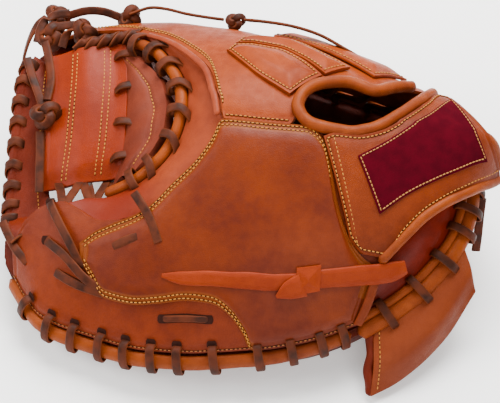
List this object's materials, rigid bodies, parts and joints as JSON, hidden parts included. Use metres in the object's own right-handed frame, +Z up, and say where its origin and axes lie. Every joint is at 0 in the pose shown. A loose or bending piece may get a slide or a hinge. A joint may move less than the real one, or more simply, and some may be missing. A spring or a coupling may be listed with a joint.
{
  "type": "catcher's mitt",
  "caption": "Catcher's mitt of laced leather: padded round palm with a deep pocket, laced one-piece web, hand opening in the back, wrist strap with a plain patch and a whip-laced rim.",
  "frame": {"origin": "plan centre of the mitt at its underside, where the palm pad rests", "axes": "+Z up through the back of the mitt, +X towards the wrist, -X towards the web, -Y towards the thumb side, +Y towards the fingers"},
  "size_m": [0.3204, 0.2635, 0.1319],
  "materials": {
    "back": "smooth full grain, semi-gloss",
    "tip": "smooth full grain, semi-gloss",
    "finger": "smooth full grain, semi-gloss",
    "cuff": "smooth full grain, semi-gloss",
    "roll": "smooth full grain, semi-gloss",
    "palm": "smooth, satin",
    "web": "smooth full grain, semi-gloss",
    "pad": "smooth full grain, semi-gloss",
    "lace": "oiled rawhide, satin",
    "strap": "smooth full grain, semi-gloss",
    "patch": "suede, matt"
  },
  "bodies": {
    "root": {"palm_pad": "palm", "heel_lobe": "finger", "thumb_shell": "tip", "thumb_panel": "back", "finger_shell": "finger", "heel_panel": "roll", "crotch_cuff": "cuff", "crotch_strip": "finger", "middle_stall": "finger", "ring_stall": "finger", "little_stall": "finger", "wrist_strap": "roll", "strap_roll": "roll", "opening_roll": "roll", "heel_roll": "roll", "patch": "patch", "crotch_welt": "roll", "thumb_welt": "roll", "heel_welt": "roll", "finger_welt": "roll", "web_panel": "web", "web_rim": "tip", "web_pad": "pad", "thumb_lace": "lace", "heel_lace": "lace", "finger_lace": "lace", "crotch_lace": "lace", "web_lace": "lace", "thumb_loop": "strap", "loop_keeper": "strap", "wrist_binding": "roll", "thumb_tip_lace_upper": "lace", "thumb_tip_lace_lower": "lace", "thumb_lace_upper": "lace", "thumb_lace_lower": "lace", "web_tie_1": "lace", "web_tie_2": "lace", "web_tie_3": "lace", "web_tie_4": "lace", "web_foot_lace": "lace", "top_knot": "lace", "tip_knot": "lace", "side_knot": "lace", "web_knot": "lace", "top_lace": "lace", "top_lace_end": "lace", "tip_lace": "lace", "web_strip": "lace", "web_tail": "lace", "tip_tail": "lace", "crotch_tail": "lace", "heel_tail": "lace"}
  },
  "joints": []
}
